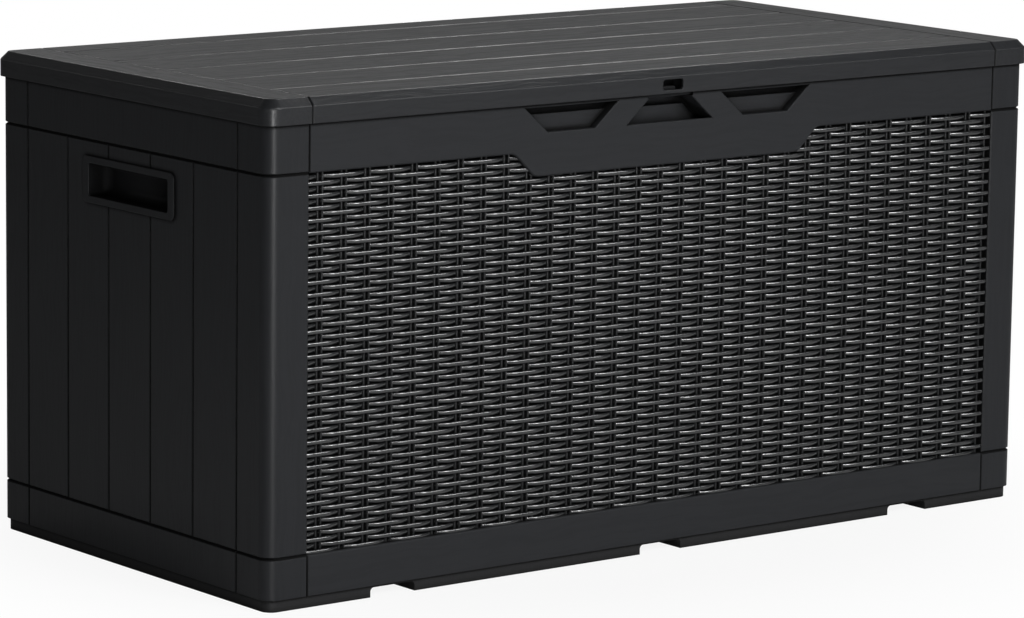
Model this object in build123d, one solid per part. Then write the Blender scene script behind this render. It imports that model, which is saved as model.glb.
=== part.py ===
from build123d import *
import os
from math import hypot

# Lidded resin deck box on a plinth, long axis along X, front towards -Y, up +Z.
# The origin is on the ground under the middle of the box. All lengths are in millimetres.

# Overall body
body_length = 1210.0
body_depth = 590.0
corner_radius = 18.0
plinth_height = 15.0
plinth_inset = 4.0
wall_height = 585.0
wall_thickness = 22.0
skin_thickness = 8.0
post_width = 58.0
seam_gap = 0.3
seam_width = 3.4
seam_depth = 1.8
piece_fit = 0.3
overrun = 5.0

# Base panel
floor_step = 12.0
floor_fit = 0.5
channel_width = 66.0
channel_height = 12.0
channel_corner = 5.0
channel_end_gap = 187.0

# Rails and planks of the walls
lower_rail_height = 50.0
upper_rail_height = 78.0
groove_width = 4.4
groove_depth = 3.2
side_post_width = 65.0
side_planks = 5
back_planks = 11
rib_width = 8.0
rail_backing = 12.0

# Wicker field of the front
field_depth = 11.0
field_backing = 6.0
wicker_thickness = 9.0
wicker_sheet = 3.4
strand_pitch = 7.37
strand_height = 5.6
strand_crown = 2.8
strand_first_rise = 1.45
drop_height = 30.0
drop_top_width = 486.0
drop_bottom_width = 424.0
drop_radius = 16.0
rail_bevel = 1.6
front_cells = 6
front_rib_width = 12.0
front_stile_width = 40.0

# Finger pulls under the lid
pull_offset = 155.5
pull_height = 31.0
pull_top_width = 144.0
pull_bottom_width = 73.0
pull_depth = 12.0
pull_slot_height = 10.0
pull_slot_depth = 19.0
pull_top_strip = 4.5
pull_bevel = 0.9

# Padlock pocket in the middle of the upper rail
lock_top_width = 66.0
lock_bottom_width = 136.0
lock_lip = 3.0
lock_pad_depth = 22.0
lock_pad_inset = 10.5
lock_pad_top = 13.0
lock_channel_depth = 30.0
lock_back_wall = 4.0
lock_undercut = 7.0
lock_boss_margin = 12.0
lock_slot_width = 54.0
bridge_setback = 3.5
bridge_thickness = 6.0
bridge_height = 3.2
bridge_drop = 1.0
bridge_bow = 0.9
bridge_foot = 9.0
bridge_tab_width = 20.0
bridge_tab_height = 9.0
bridge_tab_corner = 3.0

# Hand-hold cups in the side panels
handle_drop = 126.0
handle_length = 174.0
handle_opening = 40.5
handle_depth = 28.0
handle_wall = 3.0
handle_rim_side = 13.0
handle_rim_edge = 8.8
handle_rim_proud = 3.0
handle_rim_seat = 1.5
handle_corner = 3.5
handle_floor_radius = 12.0

# Corner flanges of the front and back panels
flange_lap = 28.0
flange_root = 20.0
flange_thickness = 5.0
flange_end_gap = 30.0

# Lid
lid_overhang = 5.0
lid_corner_radius = 20.0
lid_lift = 6.0
lid_thickness = 6.0
skirt_thickness = 4.0
skirt_drop = 31.0
lid_chamfer = 10.0
lid_edge_radius = 2.4
cap_width = 64.0
cap_flange_reach = 30.0
cap_flange_root = 20.0
cap_flange_thickness = 4.0
cap_flange_side_gap = 31.0
lid_groove_pitch = 112.5
lid_groove_shift = 13.0
lid_grooves = 5
lid_groove_width = 7.0
lid_groove_depth = 2.2
rest_rib_width = 6.0
rest_rib_setback = 8.0
rest_gap = 0.3
rest_lock_gap = 90.0
padlock_hole_width = 32.4
padlock_hole_height = 13.4
padlock_hole_corner = 4.0
padlock_hole_strip = 4.2

# Steel stiffener tubes under the lid
tube_end_gap = 105.0
tube_width = 30.0
tube_height = 18.0
tube_wall = 1.5
strap_width = 26.0
strap_thickness = 2.0
strap_ear = 18.0
strap_end_gap = 100.0
straps_per_tube = 3

# Hinges
hinge_end_gap = 205.0
hinge_count = 3
hinge_axis_inset = 3.0
hinge_axis_drop = 28.0
knuckle_radius = 7.0
pin_radius = 3.0
pin_fit = 0.02
pin_running_fit = 0.06
hinge_width = 70.0
lid_knuckle_width = 24.0
knuckle_end_gap = 0.5
pocket_depth = 15.0
pocket_height = 55.0
pocket_side_gap = 1.0
bracket_plate = 3.0
bracket_end_gap = 2.0
web_height = 8.0
arm_thickness = 4.5
leaf_plate = 3.0
leaf_reach = 45.0
leaf_width = 60.0

# Screws: pan heads, one size for the walls and one for thin plates
screw_head_radius = 4.5
screw_head_height = 2.5
screw_shank_radius = 2.2
screw_fit = 0.1
screw_spare_depth = 0.6
corner_screw_length = 17.0
corner_screws_per_joint = 4
corner_screw_end_gap = 40.0
base_screw_length = 30.0
base_screw_recess = 5.0
base_screw_recess_radius = 6.5
base_screw_shares = (0.2, 0.5, 0.85)
base_screw_side_shares = (-0.6, 0.0, 0.6)
field_screw_margin = 25.0
lid_screw_bite = 3.6
bridge_screw_length = 12.0
bracket_screw_length = 8.5
bracket_screw_offset = 25.0
bracket_screw_margin = 8.0
leaf_screw_offset = 20.0
leaf_screw_rows = (7.0, 20.0)

# Places worked out from the sizes above
half_length = body_length / 2
half_depth = body_depth / 2
wall_top = plinth_height + wall_height
inner_length = half_length - wall_thickness
inner_depth = half_depth - wall_thickness
seam_x = half_length - post_width
handle_height = wall_top - handle_drop
lower_groove = plinth_height + lower_rail_height
upper_groove = wall_top - upper_rail_height
drop_bottom = upper_groove - drop_height
floor_top = plinth_height + floor_step
lid_underside = wall_top + lid_lift
lid_top = lid_underside + lid_thickness
skirt_bottom = lid_top - skirt_drop
chamfer_bottom = lid_top - lid_chamfer
lid_length = body_length + 2 * lid_overhang
lid_depth = body_depth + 2 * lid_overhang
cap_seam = lid_length / 2 - cap_width
pull_top = skirt_bottom - pull_top_strip
pull_bottom = pull_top - pull_height
bridge_top = skirt_bottom - bridge_drop
axis_y = half_depth - hinge_axis_inset
axis_z = wall_top - hinge_axis_drop
pocket_floor = half_depth - pocket_depth
field_face = half_depth - field_depth
hinge_pitch = (body_length - 2 * hinge_end_gap) / (hinge_count - 1)
hinge_places = [(k - (hinge_count - 1) / 2) * hinge_pitch for k in range(hinge_count)]
channel_pitch = half_length - channel_end_gap
channel_places = (-channel_pitch, 0, channel_pitch)
field_length = 2 * seam_x - seam_gap
front_cell_end = seam_x - front_stile_width
front_cell_pitch = 2 * front_cell_end / front_cells
field_screw_length = field_backing + wicker_sheet - screw_spare_depth
strand_rows = int((upper_groove - lower_groove) / strand_pitch)
front_cell_low = lower_groove + rail_backing
front_cell_high = drop_bottom - rail_backing
lid_groove_places = [
    lid_groove_shift + (k - (lid_grooves - 1) / 2) * lid_groove_pitch for k in range(lid_grooves)
]
plank_middles = [place + lid_groove_pitch / 2 for place in lid_groove_places[:-1]]
tube_places = (plank_middles[0], plank_middles[2])
tube_length = body_length - 2 * tube_end_gap
strap_pitch = (tube_length - 2 * strap_end_gap) / (straps_per_tube - 1)
base_screw_rows = [share * half_length for share in base_screw_shares]
base_screw_side_rows = [share * half_depth for share in base_screw_side_shares]


# Directions
UP = (0, 0, 1)
DOWN = (0, 0, -1)
RIGHT = (1, 0, 0)
BACK = (0, 1, 0)
FRONT = (0, -1, 0)


def block(x_low, x_high, y_low, y_high, z_low, z_high):
    """A box between two opposite corners."""
    middle = Pos((x_low + x_high) / 2, (y_low + y_high) / 2, (z_low + z_high) / 2)
    return middle * Box(x_high - x_low, y_high - y_low, z_high - z_low)


def slab(length, depth, radius, z_low, z_high):
    """A rounded rectangle seen from above, raised between two heights."""
    return extrude(Pos(0, 0, z_low) * RectangleRounded(length, depth, radius), amount=z_high - z_low)


def tapered_slab(length, depth, radius, inset, z_low, z_high):
    """A rounded slab whose outline draws in by the inset from the first height to the second."""
    low = Pos(0, 0, z_low) * RectangleRounded(length, depth, radius)
    high = Pos(0, 0, z_high) * RectangleRounded(length - 2 * inset, depth - 2 * inset, radius - inset)
    return loft([low.face(), high.face()], ruled=True)


def vee(start, along, outward, length, width, depth):
    """A bar of V section that cuts a groove: its mouth lies on the face, its tip under it."""
    across = Vector(*along).cross(Vector(*outward))
    plane = Plane(origin=start, x_dir=across, z_dir=along)
    half = width / 2
    section = Polygon(
        (-half, -overrun), (half, -overrun), (half, 0), (0, depth), (-half, 0), align=None
    )
    return extrude(plane * section, amount=length)


def ring_vee(height):
    """A V groove right round the body at one height, rounded corners included."""
    half = groove_width / 2
    wide = body_length + 2 * overrun
    deep = body_depth + 2 * overrun
    band = slab(wide, deep, corner_radius + overrun, height - half, height + half)
    low = tapered_slab(body_length, body_depth, corner_radius, groove_depth, height - half, height)
    high = mirror(low, about=Plane(origin=(0, 0, height), z_dir=(0, 0, 1)))
    return band - low - high


def front_outline(points):
    """A closed outline in the plane of the front face, given as X and Z."""
    return Plane.XZ * Polygon(*points, align=None)


def trapezium(bottom_width, top_width, z_low, z_high):
    """Corner points of an upright trapezium centred on X = 0."""
    return [
        (-bottom_width / 2, z_low),
        (bottom_width / 2, z_low),
        (top_width / 2, z_high),
        (-top_width / 2, z_high),
    ]


def front_cut(outline, y_from, y_to):
    """The outline, drawn at Y = 0 facing -Y, made solid between two depths."""
    return extrude(Pos(0, y_to, 0) * outline, amount=y_to - y_from)


def bevelled_cut(outline, depth, bevel):
    """A pocket cut inwards from the front face, with a bevel round its mouth."""
    straight = front_cut(outline, -half_depth - overrun, -half_depth + depth)
    wide = Pos(0, -half_depth, 0) * offset(outline, amount=bevel, kind=Kind.INTERSECTION)
    narrow = Pos(0, -half_depth + bevel, 0) * outline
    return straight + loft([wide.face(), narrow.face()], ruled=True)


def screw(place, outward, length):
    """One pan-head screw: its head's underside lies at the place, its shank runs inwards."""
    head = Pos(0, 0, screw_head_height / 2) * Cylinder(screw_head_radius, screw_head_height)
    shank = Pos(0, 0, -length / 2) * Cylinder(screw_shank_radius, length)
    return Plane(origin=place, z_dir=outward) * (head + shank)


def screw_hole(place, outward, length):
    """The hole that a screw of this length needs, with room at its end."""
    depth = length + screw_spare_depth
    hole = Pos(0, 0, (overrun - depth) / 2) * Cylinder(screw_shank_radius + screw_fit, depth + overrun)
    return Plane(origin=place, z_dir=outward) * hole


def screw_holes(places, outward, length):
    """The holes of a group of identical screws."""
    return [screw_hole(place, outward, length) for place in places]


def screw_group(places, outward, length):
    """Identical screws as one group of separate solids."""
    return Compound(children=[screw(place, outward, length).solid() for place in places])


def spread(low, high, count):
    """Evenly spaced values from the low one to the high one."""
    step = (high - low) / (count - 1)
    return [low + k * step for k in range(count)]


# Places of the screws
corner_heights = spread(
    lower_groove + corner_screw_end_gap, upper_groove - corner_screw_end_gap, corner_screws_per_joint
)
corner_x = seam_x + flange_lap / 2
corner_y = inner_depth - flange_thickness
field_rows = (front_cell_low + field_screw_margin, front_cell_high - field_screw_margin)
field_columns = [-front_cell_end + (k + 1 / 2) * front_cell_pitch for k in range(front_cells)]
field_screw_y = field_face - field_backing
base_screw_y = half_depth - wall_thickness / 2
base_screw_x = half_length - wall_thickness / 2
bracket_rows = (
    axis_z + knuckle_radius + bracket_screw_margin,
    axis_z - knuckle_radius - bracket_screw_margin,
)
bracket_face = pocket_floor + bracket_plate
leaf_front = axis_y - knuckle_radius - leaf_reach + arm_thickness
leaf_face = lid_underside - leaf_plate
leaf_screw_length = leaf_plate + lid_screw_bite
strap_face = lid_underside - strap_thickness
strap_screw_length = strap_thickness + lid_screw_bite
strap_ear_x = tube_width / 2 + strap_thickness + strap_ear / 2
cap_flange_face = lid_underside - cap_flange_thickness
cap_screw_length = cap_flange_thickness + lid_screw_bite
cap_screw_x = cap_seam - cap_flange_reach / 2


def corner_places(front):
    """Screw places of the front or the back pair of corner joints."""
    return [(side * corner_x, front * corner_y, height) for side in (-1, 1) for height in corner_heights]


def base_places():
    """Screw places under the plinth, one row below each wall."""
    long_rows = [
        (side * x, front * base_screw_y, base_screw_recess)
        for side in (-1, 1)
        for front in (-1, 1)
        for x in base_screw_rows
    ]
    short_rows = [
        (side * base_screw_x, y, base_screw_recess) for side in (-1, 1) for y in base_screw_side_rows
    ]
    return long_rows + short_rows


def field_places():
    """Screw places through the front panel into the wicker panel."""
    return [(x, -field_screw_y, height) for height in field_rows for x in field_columns]


def bracket_places():
    """Screw places of the three hinge brackets on the back panel."""
    return [
        (middle + side * bracket_screw_offset, bracket_face, height)
        for middle in hinge_places
        for side in (-1, 1)
        for height in bracket_rows
    ]


def leaf_places():
    """Screw places of the three hinge leaves under the lid."""
    return [
        (middle + side * leaf_screw_offset, leaf_front + row, leaf_face)
        for middle in hinge_places
        for side in (-1, 1)
        for row in leaf_screw_rows
    ]


def strap_places():
    """Screw places of the straps that hold the stiffener tubes."""
    along = [(k - (straps_per_tube - 1) / 2) * strap_pitch for k in range(straps_per_tube)]
    return [(x, y + side * strap_ear_x, strap_face) for y in tube_places for x in along for side in (-1, 1)]


def cap_places(side):
    """Screw places of one end cap's flange under the lid panel."""
    return [(side * cap_screw_x, y, cap_flange_face) for y in plank_middles]


def bridge_places():
    """Screw places of the padlock bridge's two feet."""
    x = lock_slot_width / 2 + bridge_foot / 2
    height = (wall_top + skirt_bottom) / 2
    return [(side * x, -half_depth + bridge_setback, height) for side in (-1, 1)]


def cut_all(shape, cutters):
    """The shape with every cutter taken away."""
    for cutter in cutters:
        shape = shape - cutter
    return shape


# Base panel: plinth with three channels under it, and the floor that stands up inside the walls
def base_panel():
    plinth = slab(
        body_length - 2 * plinth_inset,
        body_depth - 2 * plinth_inset,
        corner_radius - plinth_inset,
        0,
        plinth_height,
    )
    floor_x = inner_length - floor_fit
    floor_y = inner_depth - floor_fit
    base = plinth + block(-floor_x, floor_x, -floor_y, floor_y, plinth_height, floor_top)
    reach = half_depth + overrun
    for place in channel_places:
        half = channel_width / 2
        channel = block(place - half, place + half, -reach, reach, -overrun, channel_height)
        tops = channel.edges().filter_by(Axis.Y).group_by(Axis.Z)[-1]
        base = base - fillet(tops, radius=channel_corner)
    recess_height = base_screw_recess + overrun
    recess = Cylinder(base_screw_recess_radius, recess_height)
    for x, y, z in base_places():
        base = base - Pos(x, y, z - recess_height / 2) * recess
        base = base - screw_hole((x, y, z), DOWN, base_screw_length)
    return base


def wall_shell():
    """The whole rounded outline of the walls as one block, cut into panels later."""
    return slab(body_length, body_depth, corner_radius, plinth_height, wall_top)


def seam_bevels():
    """V bars along the four corner seams."""
    bars = []
    for side in (-1, 1):
        for front in (-1, 1):
            foot = (side * seam_x, front * half_depth, plinth_height)
            bars.append(vee(foot, UP, (0, front, 0), wall_height, seam_width, seam_depth))
    return bars


# Side panel: planked wall between two corner posts that wrap round to the front and the back
def side_panel():
    start = seam_x + seam_gap / 2
    reach = half_length + overrun
    panel = wall_shell() & block(start, reach, -reach, reach, plinth_height, wall_top)
    panel = panel - block(0, inner_length, -inner_depth, inner_depth, plinth_height, wall_top)
    post_groove = half_depth - side_post_width
    pitch = 2 * post_groove / side_planks
    pocket_back = half_length - skin_thickness
    cell_low = lower_groove + rail_backing
    cell_high = upper_groove - rail_backing
    for k in range(side_planks):
        y_low = -post_groove + k * pitch + rib_width / 2
        y_high = y_low + pitch - rib_width
        panel = panel - block(inner_length - overrun, pocket_back, y_low, y_high, cell_low, cell_high)
    opening_y = handle_length / 2 + handle_wall + piece_fit
    opening_z = handle_opening / 2 + handle_wall + piece_fit
    opening_low = handle_height - opening_z
    opening_high = handle_height + opening_z
    panel = panel - block(inner_length - overrun, reach, -opening_y, opening_y, opening_low, opening_high)
    panel = panel - ring_vee(lower_groove) - ring_vee(upper_groove)
    for k in range(side_planks + 1):
        y = -post_groove + k * pitch
        whole = k in (0, side_planks)
        z_low = plinth_height if whole else lower_groove
        z_high = wall_top if whole else upper_groove
        panel = panel - vee((half_length, y, z_low), UP, RIGHT, z_high - z_low, groove_width, groove_depth)
    panel = cut_all(panel, seam_bevels())
    for front in (-1, 1):
        holes = [place for place in corner_places(front) if place[0] > 0]
        panel = cut_all(panel, screw_holes(holes, (0, -front, 0), corner_screw_length))
    below = [place for place in base_places() if place[0] > seam_x]
    panel = cut_all(panel, screw_holes(below, DOWN, base_screw_length))
    return panel


# Hand-hold cup: a rectangular cup with a raised rim that sits on the wall's outer face
def handle_cup():
    rim_y = handle_length + 2 * handle_rim_side
    rim_z = handle_opening + 2 * handle_rim_edge
    cup_y = handle_length + 2 * handle_wall
    cup_z = handle_opening + 2 * handle_wall
    seat = Plane(origin=(half_length, 0, handle_height), x_dir=BACK, z_dir=RIGHT)
    rim_radius = handle_corner + handle_rim_edge / 2
    rim = extrude(seat * RectangleRounded(rim_y, rim_z, rim_radius), amount=handle_rim_proud)
    crown = rim.faces().sort_by(Axis.X)[-1].edges()
    rim = fillet(crown, radius=handle_rim_proud - handle_rim_seat)
    body = extrude(seat * RectangleRounded(cup_y, cup_z, handle_corner), amount=-handle_depth - handle_wall)
    mouth = seat.offset(handle_rim_proud) * RectangleRounded(handle_length, handle_opening, handle_corner)
    hollow = extrude(mouth, amount=-handle_depth - handle_rim_proud)
    ends = hollow.faces().sort_by(Axis.X)[0].edges().filter_by(Axis.Z)
    hollow = fillet(ends, radius=handle_floor_radius)
    cup = rim + body - hollow
    lip = cup.faces().sort_by(Axis.X)[-1].inner_wires()[0].edges()
    return fillet(lip, radius=handle_rim_seat)


def field_outline():
    """The wicker field: full length between the seams, its top edge dropped in the middle."""
    half = field_length / 2
    points = [
        (-half, lower_groove),
        (half, lower_groove),
        (half, upper_groove),
        (drop_top_width / 2, upper_groove),
        (drop_bottom_width / 2, drop_bottom),
        (-drop_bottom_width / 2, drop_bottom),
        (-drop_top_width / 2, upper_groove),
        (-half, upper_groove),
    ]
    face = Polygon(*points, align=None)
    bends = [corner for corner in face.vertices() if abs(corner.X) < half - drop_radius]
    return Plane.XZ * fillet(bends, radius=drop_radius)


def corner_flanges(front):
    """The two flanges that lap behind the corner posts, on the front or the back panel."""
    low = lower_groove + flange_end_gap / 2
    high = upper_groove - flange_end_gap / 2
    near = front * inner_depth
    far = front * (inner_depth - flange_thickness)
    flanges = []
    for side in (-1, 1):
        x_ends = sorted((side * (seam_x - flange_root), side * (seam_x + flange_lap)))
        flanges.append(block(x_ends[0], x_ends[1], min(near, far), max(near, far), low, high))
    return flanges


def long_panel(front):
    """The plain block of the front or the back wall between the corner seams, with its flanges."""
    end = seam_x - seam_gap / 2
    y_ends = sorted((front * half_depth, front * inner_depth))
    panel = block(-end, end, y_ends[0], y_ends[1], plinth_height, wall_top)
    for flange in corner_flanges(front):
        panel = panel + flange
    panel = cut_all(panel, seam_bevels())
    inward = (0, -front, 0)
    panel = cut_all(panel, screw_holes(corner_places(front), inward, corner_screw_length))
    below = [place for place in base_places() if place[1] * front > inner_depth and abs(place[0]) < seam_x]
    return cut_all(panel, screw_holes(below, DOWN, base_screw_length))


def lock_cavity():
    """The padlock pocket behind its trapezium mouth, with the pad that the padlock rests on."""
    mouth = front_outline(trapezium(lock_bottom_width, lock_top_width, pull_bottom, pull_top))
    cavity = bevelled_cut(mouth, lock_lip + lock_pad_depth, pull_bevel)
    spread_rate = (lock_bottom_width - lock_top_width) / pull_height
    floor = pull_bottom - lock_undercut
    wide = lock_bottom_width + spread_rate * lock_undercut
    room = front_outline(trapezium(wide, lock_top_width, floor, pull_top))
    cavity = cavity + front_cut(room, -half_depth + lock_lip, -half_depth + lock_channel_depth)
    pad_top = pull_top - lock_pad_top
    pad_wide = wide - 2 * lock_pad_inset
    pad_narrow = pad_wide - spread_rate * (pad_top - floor)
    pad = front_outline(trapezium(pad_wide, pad_narrow, floor, pad_top))
    pad_back = -half_depth + lock_channel_depth + overrun
    cavity = cavity - front_cut(pad, -half_depth + lock_pad_depth, pad_back)
    half = lock_slot_width / 2
    slot = block(
        -half, half, -half_depth - overrun, -half_depth + lock_channel_depth, pad_top, wall_top + overrun
    )
    return cavity + slot


def bridge_room():
    """The drop-in seat of the padlock bridge, with the fit round it."""
    half = lock_slot_width / 2 + bridge_foot + piece_fit
    y_near = -half_depth + bridge_setback - screw_head_height - piece_fit
    y_far = -half_depth + bridge_setback + bridge_thickness + piece_fit
    low = bridge_top - bridge_height - bridge_bow - piece_fit
    return block(-half, half, y_near - overrun, y_far, low, wall_top + overrun)


# Front panel: upper rail with pulls and padlock pocket, lower rail, and a backing behind the wicker
def front_panel():
    panel = long_panel(-1)
    boss_half = lock_bottom_width / 2 + lock_boss_margin
    boss_back = -half_depth + lock_channel_depth + lock_back_wall
    boss_low = pull_bottom - lock_undercut - lock_boss_margin
    panel = panel + block(-boss_half, boss_half, -inner_depth, boss_back, boss_low, wall_top)
    outline = field_outline()
    panel = panel - bevelled_cut(outline, field_depth, rail_bevel)
    for k in range(front_cells):
        x_low = -front_cell_end + k * front_cell_pitch + front_rib_width / 2
        x_high = x_low + front_cell_pitch - front_rib_width
        panel = panel - block(
            x_low, x_high, -field_screw_y, -inner_depth + overrun, front_cell_low, front_cell_high
        )
    pull = front_outline(trapezium(pull_bottom_width, pull_top_width, pull_bottom, pull_top))
    spread_rate = (pull_top_width - pull_bottom_width) / pull_height
    slot_low = pull_top - pull_slot_height
    slot_bottom_width = pull_top_width - spread_rate * pull_slot_height
    slot = front_outline(trapezium(slot_bottom_width, pull_top_width, slot_low, pull_top))
    for side in (-1, 1):
        shift = Pos(side * pull_offset, 0, 0)
        panel = panel - shift * bevelled_cut(pull, pull_depth, pull_bevel)
        panel = panel - shift * front_cut(slot, -half_depth, -half_depth + pull_slot_depth)
    panel = panel - lock_cavity() - bridge_room()
    bridge_holes = screw_holes(bridge_places(), FRONT, bridge_screw_length)
    field_holes = screw_holes(field_places(), BACK, field_screw_length)
    return cut_all(panel, bridge_holes + field_holes)


# Wicker panel: the woven-look sheet that fills the front, with a level rib for each strand
def wicker_panel():
    back = -field_face
    front = back - wicker_thickness
    sheet = back - wicker_sheet
    section = [(sheet, lower_groove - overrun), (back, lower_groove - overrun)]
    section += [(back, upper_groove + overrun), (sheet, upper_groove + overrun)]
    for row in reversed(range(strand_rows)):
        z = lower_groove + strand_first_rise + row * strand_pitch
        section += [(sheet, z + strand_height / 2), (front, z + strand_crown / 2)]
        section += [(front, z - strand_crown / 2), (sheet, z - strand_height / 2)]
    strands = extrude(Plane.YZ * Polygon(*section, align=None), amount=half_length, both=True)
    outline = offset(field_outline(), amount=-piece_fit, kind=Kind.INTERSECTION)
    panel = front_cut(outline, front, back) & strands
    return cut_all(panel, screw_holes(field_places(), BACK, field_screw_length - screw_spare_depth))


# Padlock bridge: a bar across the pocket's mouth with two feet in the rail and a tab in the middle
def padlock_bridge():
    near = -half_depth + bridge_setback
    far = near + bridge_thickness
    half = lock_slot_width / 2
    foot = half + bridge_foot
    bar = block(-foot, foot, near, far, bridge_top - bridge_height, bridge_top)
    lower_bow = make_face(
        [
            Line((-half, bridge_top), (-half, bridge_top - bridge_height)),
            ThreePointArc(
                (-half, bridge_top - bridge_height),
                (0, bridge_top - bridge_height - bridge_bow),
                (half, bridge_top - bridge_height),
            ),
            Line((half, bridge_top - bridge_height), (half, bridge_top)),
            Line((half, bridge_top), (-half, bridge_top)),
        ]
    )
    bridge = bar + front_cut(Plane.XZ * lower_bow, near, far)
    for side in (-1, 1):
        x_ends = sorted((side * half, side * foot))
        bridge = bridge + block(x_ends[0], x_ends[1], near, far, bridge_top, wall_top)
    tab_half = bridge_tab_width / 2
    tab = block(-tab_half, tab_half, near, far, bridge_top, bridge_top + bridge_tab_height)
    tips = tab.edges().filter_by(Axis.Y).group_by(Axis.Z)[-1]
    bridge = bridge + fillet(tips, radius=bridge_tab_corner)
    return cut_all(bridge, screw_holes(bridge_places(), FRONT, bridge_screw_length))


# Back panel: planked wall with three open pockets for the hinges along its top
def back_panel():
    panel = long_panel(1)
    pitch = 2 * (seam_x - front_stile_width) / back_planks
    first = -seam_x + front_stile_width
    cell_low = lower_groove + rail_backing
    cell_high = upper_groove - rail_backing
    for k in range(back_planks):
        x_low = first + k * pitch + rib_width / 2
        x_high = x_low + pitch - rib_width
        panel = panel - block(
            x_low, x_high, inner_depth - overrun, half_depth - skin_thickness, cell_low, cell_high
        )
    panel = panel - ring_vee(lower_groove) - ring_vee(upper_groove)
    plank_height = upper_groove - lower_groove
    for k in range(back_planks + 1):
        start = (first + k * pitch, half_depth, lower_groove)
        panel = panel - vee(start, UP, BACK, plank_height, groove_width, groove_depth)
    half = hinge_width / 2 + pocket_side_gap
    pocket_low = wall_top - pocket_height
    open_y = half_depth + overrun
    open_z = wall_top + overrun
    for middle in hinge_places:
        panel = panel - block(middle - half, middle + half, pocket_floor, open_y, pocket_low, open_z)
    return cut_all(panel, screw_holes(bracket_places(), BACK, bracket_screw_length))


def lid_shell():
    """The whole lid as one dished shell, cut into a middle panel and two end caps later."""
    outer = slab(lid_length, lid_depth, lid_corner_radius, skirt_bottom, chamfer_bottom)
    crown = tapered_slab(lid_length, lid_depth, lid_corner_radius, lid_chamfer, chamfer_bottom, lid_top)
    outer = outer + crown
    level = [edge for edge in outer.edges() if edge.bounding_box().size.Z < rest_gap]
    ridges = [edge for edge in level if edge.center().Z > chamfer_bottom - rest_gap]
    outer = fillet(ridges, radius=lid_edge_radius)
    wide = lid_length - 2 * skirt_thickness
    deep = lid_depth - 2 * skirt_thickness
    radius = lid_corner_radius - skirt_thickness
    inner = slab(wide, deep, radius, skirt_bottom - overrun, wall_top)
    return outer - inner - tapered_slab(wide, deep, radius, lid_lift, wall_top, lid_underside)


def cap_seam_bevel(side):
    """V bars across the lid's top and down its front and back, at one end cap's seam."""
    x = side * cap_seam
    across = vee((x, -lid_depth / 2, lid_top), BACK, UP, lid_depth, seam_width, seam_depth)
    bars = [across]
    slope = hypot(lid_chamfer, lid_chamfer)
    for front in (-1, 1):
        start = (x, front * lid_depth / 2, chamfer_bottom)
        bars.append(vee(start, (0, -front, 1), (0, front, 1), slope, seam_width, seam_depth))
        foot = (x, front * lid_depth / 2, skirt_bottom)
        bars.append(vee(foot, UP, (0, front, 0), skirt_drop - lid_chamfer, seam_width, seam_depth))
    return bars


# Lid panel: planked middle of the lid with its front and rear skirts
def lid_panel():
    end = cap_seam - seam_gap / 2
    reach = lid_depth
    panel = lid_shell() & block(-end, end, -reach, reach, skirt_bottom - overrun, lid_top + overrun)
    rib_y = half_depth - rest_rib_setback
    lock_half = rest_lock_gap / 2
    for side in (-1, 1):
        x_ends = sorted((side * lock_half, side * (seam_x - flange_lap)))
        panel = panel + block(
            x_ends[0], x_ends[1], -rib_y, -rib_y + rest_rib_width, wall_top + rest_gap, lid_underside
        )
    for y in lid_groove_places:
        start = (-cap_seam, y, lid_top)
        panel = panel - vee(start, RIGHT, UP, 2 * cap_seam, lid_groove_width, lid_groove_depth)
    panel = cut_all(panel, cap_seam_bevel(-1) + cap_seam_bevel(1))
    hole_z = skirt_bottom + padlock_hole_strip + padlock_hole_height / 2
    hole = RectangleRounded(padlock_hole_width, padlock_hole_height, padlock_hole_corner)
    hole_plane = Plane(origin=(0, -half_depth, hole_z), x_dir=RIGHT, z_dir=FRONT)
    panel = panel - extrude(hole_plane * hole, amount=lid_overhang + overrun)
    holes = screw_holes(leaf_places(), DOWN, leaf_screw_length)
    holes = holes + screw_holes(strap_places(), DOWN, strap_screw_length)
    holes = holes + screw_holes(cap_places(-1) + cap_places(1), DOWN, cap_screw_length)
    return cut_all(panel, holes)


# End cap: the plain end of the lid, with a flange that laps under the lid panel
def lid_end_cap():
    start = cap_seam + seam_gap / 2
    reach = lid_length
    cap = lid_shell() & block(start, reach, -reach, reach, skirt_bottom - overrun, lid_top + overrun)
    flange_y = half_depth - cap_flange_side_gap
    tip = cap_seam - cap_flange_reach
    root = cap_seam + cap_flange_root
    cap = cap + block(tip, root, -flange_y, flange_y, cap_flange_face, lid_underside)
    rib_x = half_length - rest_rib_setback
    rib_y = inner_depth - rest_rib_setback
    cap = cap + block(rib_x - rest_rib_width, rib_x, -rib_y, rib_y, wall_top + rest_gap, lid_underside)
    cap = cut_all(cap, cap_seam_bevel(1))
    return cut_all(cap, screw_holes(cap_places(1), DOWN, cap_screw_length))


# Stiffener tube: rectangular steel tube held against the lid's underside
def stiffener_tube(y):
    half = tube_length / 2
    width = tube_width / 2
    low = lid_underside - tube_height
    tube = block(-half, half, y - width, y + width, low, lid_underside)
    bore_width = width - tube_wall
    bore_top = lid_underside - tube_wall
    bore = block(-half - overrun, half + overrun, y - bore_width, y + bore_width, low + tube_wall, bore_top)
    return tube - bore


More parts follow.
